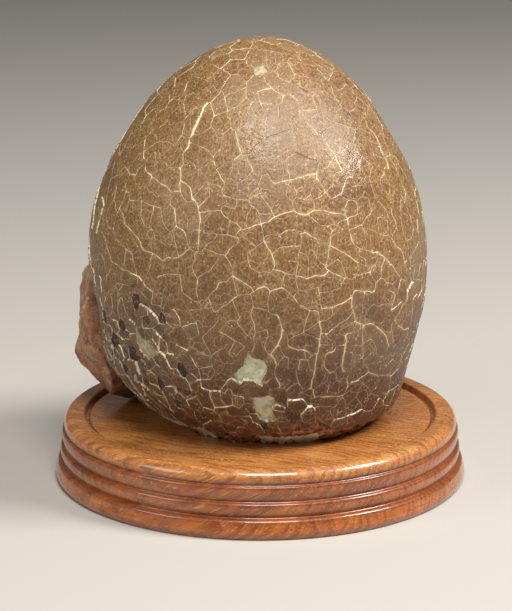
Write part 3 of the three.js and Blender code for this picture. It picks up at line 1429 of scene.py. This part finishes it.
def growth_rings(finish, across, wander):
    """Growth rings: darker late wood at the end of each year."""
    year = across * (1 / (YEAR_WIDTH * MM)) + wander * 5.0
    share = finish.node("ShaderNodeMath", {0: year}, operation="FRACT")
    return finish.step(share, 0.25, 0.85) * (1 - finish.step(share, 0.93, 1.0))


def wood_finish(settings):
    """Straight-grained board: its rings lean, and its grain climbs a little across the front."""
    finish = Finish("lacquered_wood")
    lean, dip, run = (
        math.radians(angle)
        for angle in (settings.ring_lean, -settings.grain_dip, -settings.grain_turn)
    )
    turned = finish.node(
        "ShaderNodeMapping",
        {"Vector": finish.place, "Rotation": (lean, dip, run)},
        vector_type="TEXTURE",
    )
    stretched = finish.scaled(turned, ALONG_GRAIN)
    wander = finish.node(
        "ShaderNodeTexNoise", {"Vector": stretched, "Scale": 55.0, "Detail": 2.0}
    )
    rings = growth_rings(finish, finish.axis("Y", turned), wander)
    streaks = finish.clouds(0.9, 4.0, place=stretched, rough=0.6)
    bands = finish.clouds(6, 3.0, place=stretched)
    dark_bands = finish.clouds(9, 3.0, place=stretched)
    pore_line = finish.step(finish.clouds(0.45, 1.0, place=stretched), 0.64, 0.72)
    rays = finish.clouds(0.5, 2.0, place=finish.scaled(turned, ALONG_RAYS), rough=0.6)
    wood = finish.coats(
        settings.wood_colour,
        (settings.wood_dark, rings * 0.62),
        (settings.wood_gold, finish.step(bands, 0.45, 0.65) * 0.6),
        (settings.wood_dark, finish.step(dark_bands, 0.5, 0.64) * 0.4),
        (settings.wood_dark, finish.step(streaks, 0.52, 0.72) * 0.55),
        (settings.wood_pore, pore_line * 0.6),
        (settings.wood_pale, finish.step(rays, 0.58, 0.66) * 0.6),
    )
    height = finish.axis("Z")
    # Painted shade: below the plate's top, the base's side is multiplied darker and redder than its
    # top.
    wood = finish.tint(wood, SIDE_PAINTED_SHADE, 1 - finish.step(height, 0.017, 0.0225))
    # Painted shade: a narrow band at the height of each quirk is multiplied darker, as the shade in
    # the recess above each moulding's edge.
    for _, _, _, quirk_height in MOULDINGS:
        away = finish.node("ShaderNodeMath", {0: height - quirk_height * MM}, operation="ABSOLUTE")
        stain_and_painted_shade = 1 - finish.step(away, 0.0004, 0.0024)
        wood = finish.tint(wood, QUIRK_PAINTED_SHADE, stain_and_painted_shade * 0.7)
    finish.set(base_color=wood, roughness=(0.36 + 0.12 * streaks).limited())
    finish.set(coat_roughness=0.06)
    finish.surface.inputs["Coat Weight"].default_value = COAT_WEIGHT
    finish.surface.inputs["Coat IOR"].default_value = COAT_IOR
    finish.raise_by(0.6 * streaks - 0.6 * pore_line, 0.03)
    return finish.material


# ---- What a user would change ----


class EggSettings(bpy.types.PropertyGroup):
    seed: IntProperty(
        name="Crack seed", description="Which of many crackles the shell has", default=7
    )
    shell_colour: FloatVectorProperty(
        name="Shell",
        description="The shell's brown",
        size=4,
        subtype="COLOR",
        default=paint(133, 96, 56),
    )
    shell_dark: FloatVectorProperty(
        name="Shell, dark",
        description="Dark patches of the shell",
        size=4,
        subtype="COLOR",
        default=paint(88, 58, 34),
    )
    shell_pale: FloatVectorProperty(
        name="Shell, pale",
        description="Rubbed, pale grain",
        size=4,
        subtype="COLOR",
        default=paint(178, 146, 103),
    )
    shell_olive: FloatVectorProperty(
        name="Shell, olive",
        description="Ochre and olive blotches",
        size=4,
        subtype="COLOR",
        default=paint(130, 101, 47),
    )
    shell_grey: FloatVectorProperty(
        name="Shell, grey",
        description="Plates rubbed grey",
        size=4,
        subtype="COLOR",
        default=paint(150, 126, 98),
    )
    shell_rust: FloatVectorProperty(
        name="Shell, rust",
        description="Red-brown stain near the foot",
        size=4,
        subtype="COLOR",
        default=paint(84, 48, 32),
    )
    crack_colour: FloatVectorProperty(
        name="Crack filling",
        description="Pale mineral in the cracks",
        size=4,
        subtype="COLOR",
        default=paint(240, 228, 202),
    )
    hairline_colour: FloatVectorProperty(
        name="Hairlines",
        description="The finest cracks",
        size=4,
        subtype="COLOR",
        default=paint(176, 148, 108),
    )
    infill_colour: FloatVectorProperty(
        name="Infill",
        description="Pale green sediment inside",
        size=4,
        subtype="COLOR",
        default=paint(178, 180, 142),
    )
    infill_pale: FloatVectorProperty(
        name="Infill, pale",
        description="Chalky white sediment",
        size=4,
        subtype="COLOR",
        default=paint(214, 212, 192),
    )
    ochre_colour: FloatVectorProperty(
        name="Ochre",
        description="Bare inner shell",
        size=4,
        subtype="COLOR",
        default=paint(160, 140, 96),
    )
    pit_colour: FloatVectorProperty(
        name="Pits",
        description="The bottom of deep pits",
        size=4,
        subtype="COLOR",
        default=paint(56, 33, 20),
    )
    mudstone_colour: FloatVectorProperty(
        name="Mudstone",
        description="The matrix's red",
        size=4,
        subtype="COLOR",
        default=paint(166, 120, 92),
    )
    mudstone_pink: FloatVectorProperty(
        name="Mudstone, pink",
        description="Pale pink grain",
        size=4,
        subtype="COLOR",
        default=paint(204, 166, 138),
    )
    mudstone_dark: FloatVectorProperty(
        name="Mudstone, dark",
        description="Dark red grain",
        size=4,
        subtype="COLOR",
        default=paint(118, 74, 56),
    )


class BaseSettings(bpy.types.PropertyGroup):
    radius: FloatProperty(
        name="Radius",
        description="Radius at the belly of the lowest moulding",
        default=0.076,
        unit="LENGTH",
    )
    steps: IntProperty(name="Steps", description="Steps round the turning", default=224)
    grain_turn: FloatProperty(
        name="Grain turn", description="How far the grain runs from straight across", default=14.0
    )
    ring_lean: FloatProperty(
        name="Ring lean", description="How far the rings lean from upright", default=-22.0
    )
    grain_dip: FloatProperty(
        name="Grain dip", description="How far the grain climbs to the right", default=28.0
    )
    wood_colour: FloatVectorProperty(
        name="Wood",
        description="The wood's middle brown",
        size=4,
        subtype="COLOR",
        default=paint(178, 113, 56),
    )
    wood_dark: FloatVectorProperty(
        name="Wood, dark",
        description="Late wood",
        size=4,
        subtype="COLOR",
        default=paint(118, 64, 28),
    )
    wood_gold: FloatVectorProperty(
        name="Wood, gold",
        description="Golden bands",
        size=4,
        subtype="COLOR",
        default=paint(196, 138, 76),
    )
    wood_pale: FloatVectorProperty(
        name="Wood, pale",
        description="Pale flecks along the grain",
        size=4,
        subtype="COLOR",
        default=paint(232, 178, 108),
    )
    wood_pore: FloatVectorProperty(
        name="Pores", description="Open pores", size=4, subtype="COLOR", default=paint(88, 44, 24)
    )


class StageSettings(bpy.types.PropertyGroup):
    distance: FloatProperty(
        name="Camera distance",
        description="From the camera to the egg's axis",
        default=0.85,
        unit="LENGTH",
    )
    elevation: FloatProperty(
        name="Camera elevation",
        description="Above the level",
        default=math.radians(14.8),
        subtype="ANGLE",
    )
    aim_height: FloatProperty(
        name="Aim height",
        description="Height that the camera looks at",
        default=0.0635,
        unit="LENGTH",
    )
    aim_left: FloatProperty(
        name="Aim to the left",
        description="How far left of the axis it looks",
        default=0.0015,
        unit="LENGTH",
    )
    lens: FloatProperty(name="Lens", description="Focal length in millimetres", default=136.5)
    floor_colour: FloatVectorProperty(
        name="Floor",
        description="The plain floor",
        size=4,
        subtype="COLOR",
        default=paint(182, 180, 175),
    )


# ---- The pieces ----


class BuildShell(bpy.types.Operator):
    """Makes the cracked shell, with the infill that shows where plates are missing"""

    bl_idname = "fossil_egg.shell"
    bl_label = "Eggshell"

    def execute(self, context):
        settings = context.scene.fossil_egg
        crackle = Crackle(settings.seed)
        places, faces, marks = ShellMesh(crackle, settings.seed + 9).finished()
        piece = new_piece("fossil_eggshell", places * MM, faces)
        for name, values in marks.items():
            mark = piece.data.attributes.new(name, "FLOAT", "POINT")
            mark.data.foreach_set("value", values.astype(np.float32))
        bpy.ops.object.mode_set(mode="EDIT")
        bpy.ops.mesh.select_all(action="SELECT")
        bpy.ops.mesh.remove_doubles(threshold=WELD)
        bpy.ops.mesh.select_all(action="SELECT")
        bpy.ops.mesh.bisect(
            plane_co=(0, 0, PLATE_TOP * MM), plane_no=(0, 0, 1), use_fill=True, clear_inner=True
        )
        bpy.ops.mesh.select_all(action="SELECT")
        bpy.ops.mesh.quads_convert_to_tris(quad_method="SHORTEST_DIAGONAL", ngon_method="BEAUTY")
        bpy.ops.object.mode_set(mode="OBJECT")
        bpy.ops.object.shade_smooth_by_angle(angle=math.radians(55))
        belong(piece, "fossil_egg", eggshell_finish(settings))
        return {"FINISHED"}


class BuildBase(bpy.types.Operator):
    """Turns the wooden base"""

    bl_idname = "fossil_egg.base"
    bl_label = "Wooden base"

    def execute(self, context):
        settings = context.scene.fossil_base
        profile = base_profile(settings.radius / MM)
        points = [(r * MM, 0, z * MM) for r, z in profile]
        edges = [(i, i + 1) for i in range(len(points) - 1)]
        piece = new_piece("wooden_base_turned", points, [], edges)
        bpy.ops.object.mode_set(mode="EDIT")
        bpy.ops.mesh.select_all(action="SELECT")
        bpy.ops.mesh.spin(
            steps=settings.steps, angle=math.tau, center=(0, 0, 0), axis=(0, 0, 1)
        )
        bpy.ops.mesh.select_all(action="SELECT")
        bpy.ops.mesh.remove_doubles(threshold=WELD)
        bpy.ops.mesh.normals_make_consistent(inside=False)
        bpy.ops.object.mode_set(mode="OBJECT")
        bpy.ops.object.shade_smooth_by_angle(angle=math.radians(40))
        belong(piece, "wooden_base", wood_finish(settings))
        return {"FINISHED"}


def bend(start, control, end, steps=6):
    """Points after start on a curve to end that leans towards control."""

    def curve(t, a, c, b):
        return (1 - t) ** 2 * a + 2 * t * (1 - t) * c + t * t * b

    return [
        tuple(curve(step / steps, *values) for values in zip(start, control, end))
        for step in range(1, steps + 1)
    ]


def base_profile(radius):
    """Radius and height along half of the base's section, from the axis below to the plate's."""
    points = [(0.0, 0.0), (20.0, 0.0), (50.0, 0.0), (74.2, 0.0)]
    points += bend(points[-1], (75.2, 0.0), (75.4, 0.8), 4)
    points += bend(points[-1], (radius, 1.6), (radius, 3.0))
    for edge, edge_height, quirk, quirk_height in MOULDINGS:
        points += bend(points[-1], (edge + 0.25, edge_height - 1.2), (edge, edge_height), 5)
        inwards = (edge - 0.1, quirk_height - 0.25)
        points += bend(points[-1], inwards, (quirk + 0.7, quirk_height - 0.1), 7)
        points += bend(points[-1], (quirk + 0.1, quirk_height), (quirk, quirk_height + 0.35), 4)
    points += bend(points[-1], (RIM_SIDE - 0.1, 19.2), (RIM_SIDE, RIM_TOP - SHOULDER_RADIUS), 4)
    for step in range(1, SHOULDER_STEPS + 1):
        angle = math.pi / 2 * step / SHOULDER_STEPS
        radius_here = RIM_SIDE - SHOULDER_RADIUS * (1 - math.cos(angle))
        points.append((radius_here, RIM_TOP - SHOULDER_RADIUS * (1 - math.sin(angle))))
    points += [(66.4, RIM_TOP), (65.6, RIM_TOP)]
    points += bend(points[-1], (GROOVE_OUTSIDE, RIM_TOP), (GROOVE_OUTSIDE, RIM_TOP - 0.7), 6)
    points.append((GROOVE_OUTSIDE, 21.2))
    points += bend(points[-1], (GROOVE_OUTSIDE, GROOVE_FLOOR), (64.4, GROOVE_FLOOR), 3)
    points.append((63.7, GROOVE_FLOOR))
    points += bend(points[-1], (PLATE_RADIUS, GROOVE_FLOOR), (PLATE_RADIUS, 21.2), 3)
    points.append((PLATE_RADIUS, 21.8))
    points += bend(points[-1], (PLATE_RADIUS, PLATE_TOP), (62.4, PLATE_TOP), 6)
    points += [(60.0, PLATE_TOP), (40.0, PLATE_TOP), (20.0, PLATE_TOP), (0.0, PLATE_TOP)]
    return points


class BuildMatrix(bpy.types.Operator):
    """Makes the lump of mudstone that is fused to the shell"""

    bl_idname = "fossil_egg.matrix"
    bl_label = "Matrix"

    def execute(self, context):
        settings = context.scene.fossil_egg
        start_fresh()
        lump(MATRIX_PLACE, MATRIX_TILT, MATRIX_SIZE, MATRIX_BREAKS)
        piece = name_piece("red_mudstone_matrix")
        remesh = piece.modifiers.new("even", "REMESH")
        remesh.mode = "VOXEL"
        remesh.voxel_size = MATRIX_VOXEL * MM
        bpy.ops.object.modifier_apply(modifier="even")
        for kind, size, amount in MATRIX_ROUGHNESS:
            cloud = bpy.data.textures.new("rock", kind)
            cloud.noise_scale = size * MM
            rough = piece.modifiers.new("rough", "DISPLACE")
            rough.texture = cloud
            rough.texture_coords = "LOCAL"
            rough.strength = amount * MM
            rough.mid_level = 0.5
            bpy.ops.object.modifier_apply(modifier="rough")
        bpy.ops.object.shade_smooth_by_angle(angle=math.radians(60))
        belong(piece, "fossil_egg", mudstone_finish(settings))
        return {"FINISHED"}


def lump(place, tilt, size, breaks):
    """A ball cut by flat breaks, stretched to size, tilted and set at azimuth, distance, height."""
    azimuth, distance, height = place
    bpy.ops.mesh.primitive_ico_sphere_add(subdivisions=4, radius=1)
    bpy.ops.object.mode_set(mode="EDIT")
    for facing, reach in breaks:
        normal = Vector(facing).normalized()
        bpy.ops.mesh.select_all(action="SELECT")
        bpy.ops.mesh.bisect(
            plane_co=normal * reach, plane_no=normal, use_fill=True, clear_outer=True
        )
    bpy.ops.object.mode_set(mode="OBJECT")
    piece = bpy.context.object
    turn = math.radians(azimuth)
    away = Vector((math.sin(turn), -math.cos(turn), 0))
    piece.scale = Vector(size) * MM
    apply_place()
    piece.rotation_euler = (0, math.radians(tilt), math.atan2(away.y, away.x))
    piece.location = (away * distance + Vector((0, 0, height))) * MM
    apply_place()


class BuildStage(bpy.types.Operator):
    """Sets the floor, the lights and the camera"""

    bl_idname = "fossil_egg.stage"
    bl_label = "Stage"

    def execute(self, context):
        settings = context.scene.fossil_stage
        start_fresh()
        bpy.ops.mesh.primitive_plane_add(size=FLOOR_SIZE)
        floor = name_piece("floor")
        finish = Finish("plain_floor")
        finish.set(base_color=settings.floor_colour, roughness=0.7)
        floor.data.materials.append(finish.material)
        add_camera(settings)
        for light in LIGHTS:
            add_light(*light)
        world = bpy.data.worlds.new("studio")
        world.use_nodes = True
        background = world.node_tree.nodes["Background"]
        background.inputs["Color"].default_value = WORLD_COLOUR
        background.inputs["Strength"].default_value = WORLD_STRENGTH
        context.scene.world = world
        context.scene.view_settings.view_transform = "Standard"
        return {"FINISHED"}


def around(azimuth, elevation, distance):
    """The way to a place given by its azimuth, elevation and distance."""
    turn, rise = math.radians(azimuth), math.radians(elevation)
    level = math.cos(rise)
    return Vector((math.sin(turn) * level, -math.cos(turn) * level, math.sin(rise))) * distance


def facing_back(away):
    """The turn of a lamp or camera that looks back along the way it was moved."""
    return away.to_track_quat("Z", "Y").to_euler()


def add_light(name, azimuth, elevation, distance, size, power, colour):
    light = bpy.data.lights.new(name, "AREA")
    light.shape = "SQUARE"
    light.size = size
    light.energy = power
    light.color = colour
    lamp = bpy.data.objects.new(name, light)
    bpy.context.collection.objects.link(lamp)
    away = around(azimuth, elevation, distance)
    lamp.location = Vector(LIGHTS_AIM) + away
    lamp.rotation_euler = facing_back(away)


def add_camera(settings):
    data = bpy.data.cameras.new("camera")
    data.lens = settings.lens
    data.sensor_width = SENSOR_WIDTH
    data.clip_start = CLIP_START
    camera = bpy.data.objects.new("camera", data)
    bpy.context.collection.objects.link(camera)
    aim = Vector((-settings.aim_left, 0, settings.aim_height))
    away = around(0, math.degrees(settings.elevation), settings.distance)
    camera.location = aim + away
    camera.rotation_euler = facing_back(away)
    bpy.context.scene.camera = camera


class FossilEggPanel(bpy.types.Panel):
    """Lists the settings and the pieces"""

    bl_idname = "VIEW3D_PT_fossil_egg"
    bl_label = "Fossil egg"
    bl_space_type = "VIEW_3D"
    bl_region_type = "UI"
    bl_category = "Fossil egg"

    def draw(self, context):
        scene = context.scene
        for group in (scene.fossil_egg, scene.fossil_base, scene.fossil_stage):
            box = self.layout.box()
            for name in group.bl_rna.properties.keys():
                if name not in ("rna_type", "name"):
                    box.prop(group, name)
        for operator in PIECES:
            self.layout.operator(operator.bl_idname)


PIECES = (BuildShell, BuildMatrix, BuildBase, BuildStage)
CLASSES = (EggSettings, BaseSettings, StageSettings, *PIECES, FossilEggPanel)


def register():
    for cls in CLASSES:
        bpy.utils.register_class(cls)
    bpy.types.Scene.fossil_egg = PointerProperty(type=EggSettings)
    bpy.types.Scene.fossil_base = PointerProperty(type=BaseSettings)
    bpy.types.Scene.fossil_stage = PointerProperty(type=StageSettings)


def unregister():
    del bpy.types.Scene.fossil_stage
    del bpy.types.Scene.fossil_base
    del bpy.types.Scene.fossil_egg
    for cls in reversed(CLASSES):
        bpy.utils.unregister_class(cls)


def main():
    register()
    bpy.ops.fossil_egg.shell()
    bpy.ops.fossil_egg.matrix()
    bpy.ops.fossil_egg.base()
    bpy.ops.fossil_egg.stage()


if __name__ == "__main__":
    main()
